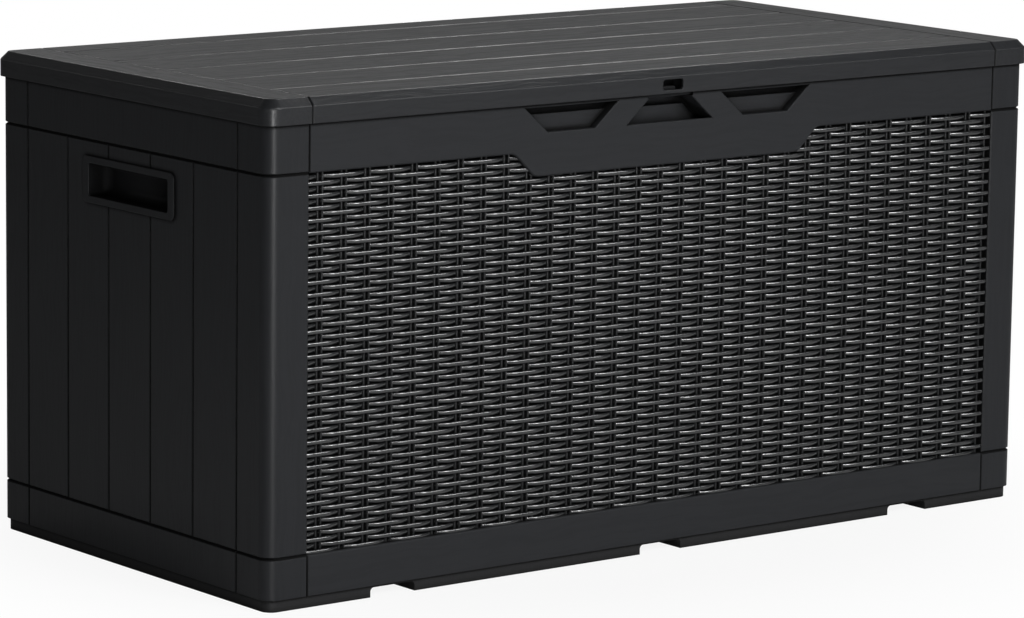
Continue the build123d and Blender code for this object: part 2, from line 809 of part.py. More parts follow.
# Straps: bent strips that hold one tube, each with two screwed ears
def tube_straps(y):
    straps = []
    width = tube_width / 2
    low = lid_underside - tube_height
    for k in range(straps_per_tube):
        x = (k - (straps_per_tube - 1) / 2) * strap_pitch
        x_low = x - strap_width / 2
        x_high = x + strap_width / 2
        cover = width + strap_thickness
        ear = cover + strap_ear
        strap = block(x_low, x_high, y - cover, y + cover, low - strap_thickness, lid_underside)
        strap = strap + block(x_low, x_high, y - ear, y + ear, strap_face, lid_underside)
        strap = strap - block(x_low, x_high, y - width, y + width, low, lid_underside)
        holes = [place for place in strap_places() if place[0] == x and abs(place[1] - y) < ear]
        strap = cut_all(strap, screw_holes(holes, DOWN, strap_screw_length))
        straps.append(strap.solid())
    return Compound(children=straps)


def knuckle(x_low, x_high, bore_radius):
    """One barrel of a hinge on the lid's axis."""
    middle = Location(((x_low + x_high) / 2, axis_y, axis_z), (0, 90, 0))
    length = x_high - x_low
    return middle * (Cylinder(knuckle_radius, length) - Cylinder(bore_radius, length + overrun))


# Hinge bracket: plate in the back panel's pocket with two knuckles that hold the pin
def hinge_bracket(middle):
    half = hinge_width / 2
    low = wall_top - pocket_height + bracket_end_gap
    high = wall_top - bracket_end_gap
    bracket = block(middle - half, middle + half, pocket_floor, bracket_face, low, high)
    inner = lid_knuckle_width / 2 + knuckle_end_gap
    for side in (-1, 1):
        x_ends = sorted((middle + side * inner, middle + side * half))
        web = block(
            x_ends[0], x_ends[1], bracket_face, axis_y, axis_z - web_height / 2, axis_z + web_height / 2
        )
        bore = Location(((x_ends[0] + x_ends[1]) / 2, axis_y, axis_z), (0, 90, 0)) * Cylinder(
            pin_radius + pin_fit, half
        )
        bracket = bracket + (web - bore) + knuckle(x_ends[0], x_ends[1], pin_radius + pin_fit)
    holes = [place for place in bracket_places() if abs(place[0] - middle) < half]
    return cut_all(bracket, screw_holes(holes, BACK, bracket_screw_length))


# Hinge pin: plain steel pin through the three knuckles
def hinge_pin(middle):
    return Location((middle, axis_y, axis_z), (0, 90, 0)) * Cylinder(pin_radius, hinge_width)


# Hinge leaf: plate under the lid, an arm down to the axis, and the middle knuckle
def hinge_leaf(middle):
    half = leaf_width / 2
    knuckle_half = lid_knuckle_width / 2
    front = axis_y - knuckle_radius
    arm_back = front + arm_thickness
    leaf = block(middle - half, middle + half, leaf_front, arm_back, leaf_face, lid_underside)
    arm = block(middle - knuckle_half, middle + knuckle_half, front, arm_back, axis_z, leaf_face)
    bore = Location((middle, axis_y, axis_z), (0, 90, 0)) * Cylinder(
        pin_radius + pin_running_fit, lid_knuckle_width + overrun
    )
    barrel = knuckle(middle - knuckle_half, middle + knuckle_half, pin_radius + pin_running_fit)
    leaf = leaf + (arm - bore) + barrel
    holes = [place for place in leaf_places() if abs(place[0] - middle) < half]
    return cut_all(leaf, screw_holes(holes, DOWN, leaf_screw_length))


def build():
    """Every piece of the box under its node's name."""
    right_side = side_panel()
    right_cup = handle_cup()
    right_cap = lid_end_cap()
    pieces = {
        "base_panel": base_panel(),
        "front_panel": front_panel(),
        "back_panel": back_panel(),
        "right_side_panel": right_side,
        "left_side_panel": mirror(right_side, about=Plane.YZ),
        "wicker_panel": wicker_panel(),
        "right_handle_cup": right_cup,
        "left_handle_cup": mirror(right_cup, about=Plane.YZ),
        "padlock_bridge": padlock_bridge(),
        "padlock_bridge_screws": screw_group(bridge_places(), FRONT, bridge_screw_length),
        "front_corner_screws": screw_group(corner_places(-1), BACK, corner_screw_length),
        "back_corner_screws": screw_group(corner_places(1), FRONT, corner_screw_length),
        "base_screws": screw_group(base_places(), DOWN, base_screw_length),
        "wicker_panel_screws": screw_group(field_places(), BACK, field_screw_length),
        "lid_panel": lid_panel(),
        "lid_right_end_cap": right_cap,
        "lid_left_end_cap": mirror(right_cap, about=Plane.YZ),
        "lid_right_cap_screws": screw_group(cap_places(1), DOWN, cap_screw_length),
        "lid_left_cap_screws": screw_group(cap_places(-1), DOWN, cap_screw_length),
        "stiffener_strap_screws": screw_group(strap_places(), DOWN, strap_screw_length),
        "hinge_leaf_screws": screw_group(leaf_places(), DOWN, leaf_screw_length),
        "hinge_bracket_screws": screw_group(bracket_places(), BACK, bracket_screw_length),
    }
    for name, y in zip(("front", "rear"), tube_places):
        pieces[name + "_stiffener_tube"] = stiffener_tube(y)
        pieces[name + "_stiffener_straps"] = tube_straps(y)
    for name, middle in zip(("left", "centre", "right"), hinge_places):
        pieces[name + "_hinge_bracket"] = hinge_bracket(middle)
        pieces[name + "_hinge_pin"] = hinge_pin(middle)
        pieces[name + "_hinge_leaf"] = hinge_leaf(middle)
    return pieces


os.makedirs("parts", exist_ok=True)
for node, shape in build().items():
    export_step(shape, os.path.join("parts", node + ".step"))
    print(node, round(shape.volume))
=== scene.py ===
import logging
import math
from dataclasses import dataclass, field, replace
from enum import Enum

import bmesh
import bpy
from mathutils import Matrix, Vector


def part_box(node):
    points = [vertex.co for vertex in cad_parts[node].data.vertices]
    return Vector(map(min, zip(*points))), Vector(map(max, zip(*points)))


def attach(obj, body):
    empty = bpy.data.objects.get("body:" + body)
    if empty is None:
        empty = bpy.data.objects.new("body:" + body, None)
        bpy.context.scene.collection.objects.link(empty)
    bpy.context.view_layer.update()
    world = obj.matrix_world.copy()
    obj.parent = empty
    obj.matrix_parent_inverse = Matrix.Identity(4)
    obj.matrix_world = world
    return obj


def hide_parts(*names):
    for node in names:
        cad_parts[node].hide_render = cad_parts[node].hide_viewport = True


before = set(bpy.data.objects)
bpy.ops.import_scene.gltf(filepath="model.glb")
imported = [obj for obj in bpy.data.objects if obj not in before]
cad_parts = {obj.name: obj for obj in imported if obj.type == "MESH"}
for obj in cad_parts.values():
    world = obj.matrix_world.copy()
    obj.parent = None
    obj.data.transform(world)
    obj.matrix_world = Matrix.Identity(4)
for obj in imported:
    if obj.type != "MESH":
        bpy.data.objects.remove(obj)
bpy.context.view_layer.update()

MM = 0.001
LOG = logging.getLogger("dock_box")
# openness where the painted shade is full, and where it is gone, in pockets and in grooves
POCKET_RANGE = (0.42, 0.76)
GROOVE_RANGE = (0.7, 0.985)
# how far away a face can be to close one
POCKET_REACH_MM = 26.0
GROOVE_REACH_MM = 5.5
# the share of the colour that the painted shade leaves deep in one, and the roughness there
PAINTED_SHADE_TINT = 0.05
RECESS_ROUGHNESS = 0.9
RECESS_SAMPLES = 5
BEVEL_SAMPLES = 4
RESIN_IOR = 1.49


class GrainRun(Enum):
    """The axis that a moulded wood grain runs along."""

    ALONG_X = 0
    ALONG_Y = 1
    ALONG_Z = 2


def linear(colour: str) -> tuple[float, float, float, float]:
    """Turns an sRGB hex colour into the linear values that a shader takes.

    Args:
        colour: six hex digits after a hash sign.

    Returns:
        Red, green, blue and alpha.
    """
    parts = [int(colour[k : k + 2], 16) / 255 for k in (1, 3, 5)]
    shades = [p / 12.92 if p <= 0.04045 else ((p + 0.055) / 1.055) ** 2.4 for p in parts]
    return (*shades, 1.0)


def add_node(
    tree: bpy.types.NodeTree,
    kind: str,
    settings: dict[str, object] | None = None,
    inputs: dict[str | int, object] | None = None,
) -> bpy.types.Node:
    """Adds a node with its settings, its values and its links.

    Args:
        tree: the node tree that takes the node.
        kind: the node's type name.
        settings: values for the node's own properties.
        inputs: a value, or an output socket to link from, for each named input.

    Returns:
        The new node.
    """
    node = tree.nodes.new(kind)
    for name, value in (settings or {}).items():
        setattr(node, name, value)
    for name, value in (inputs or {}).items():
        if isinstance(value, bpy.types.NodeSocket):
            tree.links.new(value, node.inputs[name])
        else:
            node.inputs[name].default_value = value
    return node


def math_node(tree: bpy.types.NodeTree, operation: str, *values: object) -> bpy.types.NodeSocket:
    """Adds one arithmetic step.

    Args:
        tree: the node tree that takes the step.
        operation: the arithmetic to do.
        values: numbers or output sockets, in order.

    Returns:
        The step's output socket.
    """
    node = add_node(tree, "ShaderNodeMath", {"operation": operation}, dict(enumerate(values)))
    return node.outputs[0]


def new_material(name: str) -> tuple[bpy.types.Material, bpy.types.NodeTree]:
    """Makes an empty node material.

    Args:
        name: the material's name.

    Returns:
        The material and its node tree.
    """
    material = bpy.data.materials.new(name)
    material.use_nodes = True
    material.node_tree.nodes.clear()
    return material, material.node_tree


def close_surface(tree: bpy.types.NodeTree, shader: bpy.types.NodeSocket) -> None:
    """Links a shader to the material's surface.

    Args:
        tree: the material's node tree.
        shader: the output socket of the finished shader.
    """
    add_node(tree, "ShaderNodeOutputMaterial", inputs={"Surface": shader})


def object_place(tree: bpy.types.NodeTree) -> bpy.types.NodeSocket:
    """Adds the object's own coordinates, in which patterns are laid out.

    Args:
        tree: the material's node tree.

    Returns:
        The socket of the coordinates.
    """
    return add_node(tree, "ShaderNodeTexCoord").outputs["Object"]


def noise(
    tree: bpy.types.NodeTree,
    place: bpy.types.NodeSocket,
    scale: float,
    detail: float,
    roughness: float = 0.5,
) -> bpy.types.Node:
    """Adds a noise pattern.

    Args:
        tree: the material's node tree.
        place: the coordinates.
        scale: how many cells there are in a metre.
        detail: how many finer layers are added.
        roughness: how strong the finer layers are.

    Returns:
        The noise node.
    """
    values = {"Vector": place, "Scale": scale, "Detail": detail, "Roughness": roughness}
    return add_node(tree, "ShaderNodeTexNoise", inputs=values)


def fine_noise(
    tree: bpy.types.NodeTree, place: bpy.types.NodeSocket, grain_mm: float, detail: float
) -> bpy.types.NodeSocket:
    """Adds a noise pattern by the size of its grains.

    Args:
        tree: the material's node tree.
        place: the coordinates.
        grain_mm: the size of a grain.
        detail: how many finer layers are added.

    Returns:
        The socket of the pattern.
    """
    return noise(tree, place, 1 / (grain_mm * MM), detail).outputs["Fac"]


def drawn_out(
    tree: bpy.types.NodeTree,
    place: bpy.types.NodeSocket,
    run: GrainRun,
    width_mm: float,
    length_mm: float,
) -> bpy.types.NodeSocket:
    """Scales coordinates so that a pattern's cells are long along one axis.

    Args:
        tree: the material's node tree.
        place: the coordinates.
        run: the long axis.
        width_mm: the cells' size across.
        length_mm: their size along the axis.

    Returns:
        The socket of the scaled coordinates.
    """
    stretch = [1 / (width_mm * MM)] * 3
    stretch[run.value] = 1 / (length_mm * MM)
    values = {"Vector": place, "Scale": tuple(stretch)}
    return add_node(tree, "ShaderNodeMapping", inputs=values).outputs[0]


def two_tone(
    tree: bpy.types.NodeTree, share: bpy.types.NodeSocket, low: str, high: str
) -> bpy.types.NodeSocket:
    """Mixes two colours by a pattern.

    Args:
        tree: the material's node tree.
        share: the pattern.
        low: the hex colour where the pattern is 0.
        high: the hex colour where it is 1.

    Returns:
        The socket of the colour.
    """
    values = {0: share, 6: linear(low), 7: linear(high)}
    return add_node(tree, "ShaderNodeMix", {"data_type": "RGBA"}, values).outputs[2]


def eased(
    tree: bpy.types.NodeTree,
    value: bpy.types.NodeSocket,
    limits: tuple[float, float],
    low: float = 0.0,
    high: float = 1.0,
) -> bpy.types.NodeSocket:
    """Leads smoothly from one level to another while a value passes between two limits.

    Args:
        tree: the node tree.
        value: the value that passes.
        limits: where the change starts and ends.
        low: the level before the first limit.
        high: the level after the second.

    Returns:
        The socket of the level.
    """
    start, end = limits
    values = {"Value": value, "From Min": start, "From Max": end, "To Min": low, "To Max": high}
    settings = {"interpolation_type": "SMOOTHSTEP"}
    return add_node(tree, "ShaderNodeMapRange", settings, values).outputs[0]


def uneven(
    tree: bpy.types.NodeTree,
    share: bpy.types.NodeSocket,
    middle: float,
    spread: tuple[float, float],
) -> bpy.types.NodeSocket:
    """Lets a value vary with a pattern.

    Args:
        tree: the material's node tree.
        share: the pattern.
        middle: the value to vary.
        spread: what is added to it where the pattern is 0, and where it is 1.

    Returns:
        The socket of the result.
    """
    low, high = spread
    values = {"Value": share, "To Min": middle + low, "To Max": middle + high}
    return add_node(tree, "ShaderNodeMapRange", inputs=values).outputs[0]


def bump(
    tree: bpy.types.NodeTree,
    height: bpy.types.NodeSocket,
    strength: float,
    depth_mm: float,
    normal: bpy.types.NodeSocket | None = None,
) -> bpy.types.NodeSocket:
    """Gives a pattern its fine relief.

    Args:
        tree: the material's node tree.
        height: the pattern.
        strength: the share of the relief that shows.
        depth_mm: the relief's depth.
        normal: the normal that the relief is laid on, if it isn't the surface's own.

    Returns:
        The socket of the new normal.
    """
    values = {"Strength": strength, "Distance": depth_mm * MM, "Height": height}
    if normal is not None:
        values["Normal"] = normal
    return add_node(tree, "ShaderNodeBump", inputs=values).outputs[0]


def rounded_edges(tree: bpy.types.NodeTree, radius_mm: float) -> bpy.types.NodeSocket:
    """Adds the small radius that moulded edges have.

    Args:
        tree: the material's node tree.
        radius_mm: the radius.

    Returns:
        The socket of the rounded normal.
    """
    values = {"Radius": radius_mm * MM}
    return add_node(tree, "ShaderNodeBevel", {"samples": BEVEL_SAMPLES}, values).outputs[0]


def close_principled(
    tree: bpy.types.NodeTree,
    tint: bpy.types.NodeSocket,
    sheen: bpy.types.NodeSocket,
    normal: bpy.types.NodeSocket,
    constants: dict[str, float],
) -> None:
    """Ends a material with its principled shader.

    Args:
        tree: the material's node tree.
        tint: the colour.
        sheen: the roughness.
        normal: the normal with all the relief.
        constants: the values of the other sockets, by their names.
    """
    values = {"Base Color": tint, "Roughness": sheen, "Normal": normal} | constants
    shader = add_node(tree, "ShaderNodeBsdfPrincipled", inputs=values)
    close_surface(tree, shader.outputs[0])


def resin_gloss(specular: float) -> dict[str, float]:
    """The constant socket values of a resin.

    Args:
        specular: the strength of its reflection, with 0.5 as the plain one.

    Returns:
        The values by the names of their sockets.
    """
    return {"IOR": RESIN_IOR, "Specular IOR Level": specular}


def with_painted_recess_shade(
    tree: bpy.types.NodeTree,
    tint: bpy.types.NodeSocket,
    sheen: bpy.types.NodeSocket,
    dullness: float,
    pocket_reach_mm: float = POCKET_REACH_MM,
    shade_tint_left: float = PAINTED_SHADE_TINT,
) -> tuple[bpy.types.NodeSocket, bpy.types.NodeSocket]:
    """Paints shade, nearly black, into a finish's colour, and dulls it where it is closed in.

    These places are grooves, gaps and pockets.

    Args:
        tree: the material's node tree.
        tint: the colour on the open faces.
        sheen: the roughness on the open faces.
        dullness: the roughness deep in a recess.
        pocket_reach_mm: how far away a face can be to close a pocket.
        shade_tint_left: the share of the colour that the painted shade leaves deep in a recess.

    Returns:
        The colour with its painted shade, nearly black in the recesses, and the roughness.
    """
    shares = []
    recesses = ((pocket_reach_mm, POCKET_RANGE), (GROOVE_REACH_MM, GROOVE_RANGE))
    for reach_mm, limits in recesses:
        hollow = add_node(
            tree,
            "ShaderNodeAmbientOcclusion",
            {"samples": RECESS_SAMPLES},
            {"Distance": reach_mm * MM},
        )
        shares.append(eased(tree, hollow.outputs["AO"], limits, shade_tint_left))
    openness = math_node(tree, "MULTIPLY", *shares)
    shaded = add_node(
        tree,
        "ShaderNodeMix",
        {"data_type": "RGBA"},
        {0: openness, 6: linear("#000000"), 7: tint},
    )
    dulled = add_node(
        tree, "ShaderNodeMix", {"data_type": "FLOAT"}, {0: openness, 2: dullness, 3: sheen}
    )
    return shaded.outputs[2], dulled.outputs[0]


@dataclass(frozen=True)
class GrainedResin:
    """Polypropylene moulded against a wood-grain mould.

    The grain is long shallow streaks, satin on the lands between them and duller in them.
    """

    name: str
    colour: str
    streak_colour: str
    run: GrainRun
    roughness: float = 0.44
    specular: float = 0.16
    relief: float = 0.1
    streak_dullness: float = 0.03
    # the roughness, and the share of the colour, that the painted shade leaves deep in a recess
    recess_roughness: float = RECESS_ROUGHNESS
    painted_shade_tint: float = PAINTED_SHADE_TINT
    streak_length_mm: float = 260.0
    streak_width_mm: float = 5.0
    streak_depth_mm: float = 0.35
    streak_range: tuple[float, float] = (0.40, 0.56)
    streak_detail: float = 5.0
    streak_layering: float = 0.6
    drift_scale: float = 7.0
    drift_detail: float = 2.0
    drift_mm: float = 35.0
    pit_mm: float = 0.9
    pit_detail: float = 1.0
    pit_depth_mm: float = 0.2
    pit_relief: float = 0.05
    edge_radius_mm: float = 1.3

    def material(self) -> bpy.types.Material:
        """Builds the node material.

        Returns:
            The material.
        """
        material, tree = new_material(self.name)
        place = object_place(tree)
        # slow wandering of the grain, as wide as a hand
        drift = noise(tree, place, self.drift_scale, self.drift_detail)
        bend = add_node(
            tree,
            "ShaderNodeVectorMath",
            {"operation": "MULTIPLY_ADD"},
            {0: drift.outputs["Color"], 1: (self.drift_mm * MM,) * 3, 2: place},
        )
        lines = drawn_out(
            tree, bend.outputs[0], self.run, self.streak_width_mm, self.streak_length_mm
        )
        streak = noise(tree, lines, 1.0, self.streak_detail, self.streak_layering)
        land = eased(tree, streak.outputs["Fac"], self.streak_range)
        pits = fine_noise(tree, place, self.pit_mm, self.pit_detail)
        rounded = rounded_edges(tree, self.edge_radius_mm)
        fine = bump(tree, pits, self.pit_relief, self.pit_depth_mm, rounded)
        relief = bump(tree, land, self.relief, self.streak_depth_mm, fine)
        # painted shade, nearly black, in grooves, gaps and pockets
        shade, dullness = with_painted_recess_shade(
            tree,
            two_tone(tree, land, self.streak_colour, self.colour),
            uneven(tree, land, self.roughness, (self.streak_dullness, 0.0)),
            self.recess_roughness,
            shade_tint_left=self.painted_shade_tint,
        )
        close_principled(tree, shade, dullness, relief, resin_gloss(self.specular))
        return material


@dataclass(frozen=True)
class PlainResin:
    """Resin moulded against a spark-eroded mould: an even satin skin with fine pits."""

    name: str
    colour: str
    patch_colour: str
    roughness: float = 0.5
    specular: float = 0.35
    sheen_spread: tuple[float, float] = (0.06, -0.04)
    cloud_scale: float = 14.0
    cloud_detail: float = 4.0
    pit_mm: float = 1.1
    pit_detail: float = 2.0
    pit_depth_mm: float = 0.2
    pit_relief: float = 0.2
    edge_radius_mm: float = 0.8
    recess_roughness: float = RECESS_ROUGHNESS
    # how far the painted shade in pockets reaches
    pocket_reach_mm: float = POCKET_REACH_MM

    def material(self) -> bpy.types.Material:
        """Builds the node material.

        Returns:
            The material.
        """
        material, tree = new_material(self.name)
        place = object_place(tree)
        cloud = noise(tree, place, self.cloud_scale, self.cloud_detail).outputs["Fac"]
        pits = fine_noise(tree, place, self.pit_mm, self.pit_detail)
        rounded = rounded_edges(tree, self.edge_radius_mm)
        relief = bump(tree, pits, self.pit_relief, self.pit_depth_mm, rounded)
        # painted shade, nearly black, in grooves, gaps and pockets
        shade, dullness = with_painted_recess_shade(
            tree,
            two_tone(tree, cloud, self.patch_colour, self.colour),
            uneven(tree, cloud, self.roughness, self.sheen_spread),
            self.recess_roughness,
            self.pocket_reach_mm,
        )
        close_principled(tree, shade, dullness, relief, resin_gloss(self.specular))
        return material


@dataclass(frozen=True)
class StrandResin:
    """Polypropylene moulded as cane: glossier than the walls, with fine lines along it."""

    name: str
    colour: str
    line_colour: str
    run: GrainRun
    roughness: float = 0.3
    specular: float = 1.0
    sheen_spread: tuple[float, float] = (0.1, -0.06)
    line_detail: float = 3.0
    line_width_mm: float = 1.1
    line_length_mm: float = 45.0
    line_depth_mm: float = 0.15
    line_relief: float = 0.25

    def material(self) -> bpy.types.Material:
        """Builds the node material.

        Returns:
            The material.
        """
        material, tree = new_material(self.name)
        drawn = drawn_out(
            tree, object_place(tree), self.run, self.line_width_mm, self.line_length_mm
        )
        lines = noise(tree, drawn, 1.0, self.line_detail).outputs["Fac"]
        close_principled(
            tree,
            two_tone(tree, lines, self.line_colour, self.colour),
            uneven(tree, lines, self.roughness, self.sheen_spread),
            bump(tree, lines, self.line_relief, self.line_depth_mm),
            resin_gloss(self.specular),
        )
        return material


@dataclass(frozen=True)
class CoatedSteel:
    """Steel under a powder coat or a zinc plate: a fine orange peel, or a mottled skin."""

    name: str
    colour: str
    mottle_colour: str
    metallic: float
    roughness: float
    sheen_spread: tuple[float, float] = (0.08, -0.05)
    mottle_scale: float = 90.0
    mottle_detail: float = 4.0
    peel_mm: float = 1.6
    peel_detail: float = 2.0
    peel_depth_mm: float = 0.15
    peel_relief: float = 0.15

    def material(self) -> bpy.types.Material:
        """Builds the node material.

        Returns:
            The material.
        """
        material, tree = new_material(self.name)
        place = object_place(tree)
        peel = fine_noise(tree, place, self.peel_mm, self.peel_detail)
        mottle = noise(tree, place, self.mottle_scale, self.mottle_detail).outputs["Fac"]
        close_principled(
            tree,
            two_tone(tree, mottle, self.mottle_colour, self.colour),
            uneven(tree, mottle, self.roughness, self.sheen_spread),
            bump(tree, peel, self.peel_relief, self.peel_depth_mm),
            {"Metallic": self.metallic},
        )
        return material


@dataclass(frozen=True)
class Finishes:
    """Every finish of the box, each built once."""

    lid_planks: bpy.types.Material
    lid_caps: bpy.types.Material
    upright_planks: bpy.types.Material
    rails: bpy.types.Material
    base: bpy.types.Material
    fittings: bpy.types.Material
    strands: bpy.types.Material
    stakes: bpy.types.Material
    backing: bpy.types.Material
    powder_coat: bpy.types.Material
    zinc: bpy.types.Material

    @classmethod
    def build(cls) -> "Finishes":
        """Builds all the materials.

        Returns:
            The finishes.
        """
        # satin and well rounded, so that the lid mirrors the bright surround
        lid_resin = GrainedResin(
            "moulded_polypropylene_grain_y_caps",
            "#1f2022",
            "#1b1c1e",
            GrainRun.ALONG_Y,
            roughness=0.32,
            specular=0.3,
            relief=0.2,
            streak_dullness=0.08,
            edge_radius_mm=2.0,
        )
        return cls(
            # shallow grooves, where the painted shade leaves most of the colour and the sheen
            lid_planks=replace(
                lid_resin,
                name="moulded_polypropylene_grain_x_lid",
                run=GrainRun.ALONG_X,
                recess_roughness=0.32,
                painted_shade_tint=0.7,
            ).material(),
            lid_caps=lid_resin.material(),
            upright_planks=GrainedResin(
                "moulded_polypropylene_grain_z",
                "#202123",
                "#1e1f21",
                GrainRun.ALONG_Z,
                roughness=0.36,
            ).material(),
            rails=GrainedResin(
                "moulded_polypropylene_grain_x_rails", "#212224", "#1f2022", GrainRun.ALONG_X
            ).material(),
            base=PlainResin("moulded_polypropylene_base", "#19191b", "#141517").material(),
            # the hand holds are deep, so the painted shade in them reaches further
            fittings=PlainResin(
                "moulded_nylon_fittings",
                "#202123",
                "#1c1d1f",
                roughness=0.46,
                specular=0.16,
                pocket_reach_mm=110.0,
            ).material(),
            strands=StrandResin(
                "moulded_polypropylene_cane_strands",
                "#202122",
                "#131415",
                GrainRun.ALONG_X,
                roughness=0.23,
            ).material(),
            stakes=StrandResin(
                "moulded_polypropylene_cane_stakes",
                "#191a1b",
                "#101112",
                GrainRun.ALONG_Z,
                specular=0.25,
            ).material(),
            # a real sheet behind the weave, whose near-black colour is painted shade in the gaps
            # between the strands
            backing=PlainResin(
                "moulded_polypropylene_backing",
                "#070708",
                "#040405",
                roughness=0.8,
                specular=0.05,
            ).material(),
            powder_coat=CoatedSteel(
                "powder_coated_steel", "#1a1a1b", "#131314", metallic=0.0, roughness=0.45
            ).material(),
            zinc=CoatedSteel(
                "zinc_plated_steel", "#b9bbbd", "#8f9295", metallic=1.0, roughness=0.32
            ).material(),
        )


def dress(node: str, material: bpy.types.Material) -> None:
    """Gives a CAD node its finish.

    Args:
        node: the CAD node's name.
        material: the finish.
    """
    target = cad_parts[node]
    for holder in target.material_slots:
        holder.link = "OBJECT"
        holder.material = material
    LOG.info("dressed %s with %s", node, material.name)


def mesh_object(name: str, mesh: bpy.types.Mesh) -> bpy.types.Object:
    """Puts a mesh in the scene as an object at the origin.

    Args:
        name: the object's name.
        mesh: its mesh.

    Returns:
        The object.
    """
    piece = bpy.data.objects.new(name, mesh)
    bpy.context.scene.collection.objects.link(piece)
    return piece


def grow(piece: bpy.types.Object, tree: bpy.types.NodeTree, values: dict[str, object]) -> None:
    """Runs a node tree on a piece and keeps the result as a plain mesh.

    Args:
        piece: the object whose mesh the tree starts from.
        tree: the Geometry Nodes tree.
        values: a value for each of the tree's inputs, by its name.
    """
    modifier = piece.modifiers.new("growth", "NODES")
    modifier.node_group = tree
    for item in tree.interface.items_tree:
        if item.in_out == "INPUT" and item.name in values:
            modifier[item.identifier] = values[item.name]
    graph = bpy.context.evaluated_depsgraph_get()
    mesh = bpy.data.meshes.new_from_object(piece.evaluated_get(graph))
    piece.modifiers.clear()
    piece.data = mesh


def new_tree(
    name: str, inputs: dict[str, str]
) -> tuple[bpy.types.NodeTree, dict[str, bpy.types.NodeSocket]]:
    """Starts a Geometry Nodes tree with a geometry input and named inputs.

    Args:
        name: the tree's name.
        inputs: the socket type of each named input.

    Returns:
        The tree, and its inputs by name, the geometry among them.
    """
    tree = bpy.data.node_groups.new(name, "GeometryNodeTree")
    tree.interface.new_socket("Geometry", in_out="OUTPUT", socket_type="NodeSocketGeometry")
    tree.interface.new_socket("Geometry", in_out="INPUT", socket_type="NodeSocketGeometry")
    for label, kind in inputs.items():
        tree.interface.new_socket(label, in_out="INPUT", socket_type=kind)
    start = add_node(tree, "NodeGroupInput")
    return tree, {socket.name: socket for socket in start.outputs if socket.name}


def end_tree(
    tree: bpy.types.NodeTree, shape: bpy.types.NodeSocket, finish: bpy.types.NodeSocket
) -> None:
    """Ends a tree with real geometry that has its material.

    Args:
        tree: the tree.
        shape: the geometry so far.
        finish: the tree's material input.
    """
    smooth = add_node(tree, "GeometryNodeSetShadeSmooth", inputs={"Geometry": shape})
    real = add_node(tree, "GeometryNodeRealizeInstances", inputs={"Geometry": smooth.outputs[0]})
    coated = add_node(
        tree, "GeometryNodeSetMaterial", inputs={"Geometry": real.outputs[0], "Material": finish}
    )
    add_node(tree, "NodeGroupOutput", inputs={"Geometry": coated.outputs[0]})


def line_mesh(name: str, runs: list[tuple[Vector, Vector]]) -> bpy.types.Mesh:
    """Makes a mesh of separate straight edges, one for each run.

    Args:
        name: the mesh's name.
        runs: the two ends of each run.

    Returns:
        The mesh.
    """
    points = [tuple(end) for run in runs for end in run]
    edges = [(k, k + 1) for k in range(0, len(points), 2)]
    mesh = bpy.data.meshes.new(name)
    mesh.from_pydata(points, edges, [])
    return mesh


